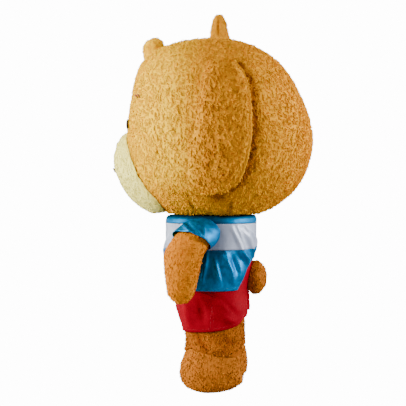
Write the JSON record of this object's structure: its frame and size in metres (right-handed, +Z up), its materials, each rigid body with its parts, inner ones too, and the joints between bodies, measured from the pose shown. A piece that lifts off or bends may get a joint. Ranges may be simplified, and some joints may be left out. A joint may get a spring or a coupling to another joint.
{
  "type": "dog mascot costume",
  "caption": "Full-body plush dog costume with a large hollow head, worn over a filled-out plush suit with a satin T-shirt and shorts.",
  "frame": {"origin": "centre of the neck hole where the costume's head meets its shirt, 0.948 m above the soles, between the wearer's shoulders", "axes": "+Z up, -Y the way the dog faces, +X to the dog's left"},
  "size_m": [1.1334, 1.0982, 2.043],
  "materials": {
    "gold_plush": "short curly golden plush",
    "cream_plush": "short pale cream plush",
    "blue_satin": "shiny blue satin",
    "white_satin": "shiny white satin",
    "red_satin": "dull red satin",
    "black_gloss": "polished black plastic",
    "dark_felt": "dark brown felt"
  },
  "bodies": {
    "root": {"head_front": "gold_plush", "head_back": "gold_plush", "ear_left": "gold_plush", "ear_right": "gold_plush", "forelock": "gold_plush", "crown_tuft": "gold_plush", "arm_left": "gold_plush", "arm_right": "gold_plush", "suit_front": "gold_plush", "suit_back": "gold_plush", "leg_left": "gold_plush", "leg_right": "gold_plush", "foot_left": "gold_plush", "foot_right": "gold_plush", "tail": "gold_plush", "muzzle": "cream_plush", "sleeve_left": "blue_satin", "sleeve_right": "blue_satin", "shirt_yoke_front": "blue_satin", "shirt_yoke_back": "blue_satin", "shirt_hem_front": "blue_satin", "shirt_hem_back": "blue_satin", "shirt_hoop_front": "white_satin", "shirt_hoop_back": "white_satin", "shorts_left": "red_satin", "shorts_right": "red_satin", "eye_left": "black_gloss", "eye_right": "black_gloss", "nose": "dark_felt"}
  },
  "joints": []
}
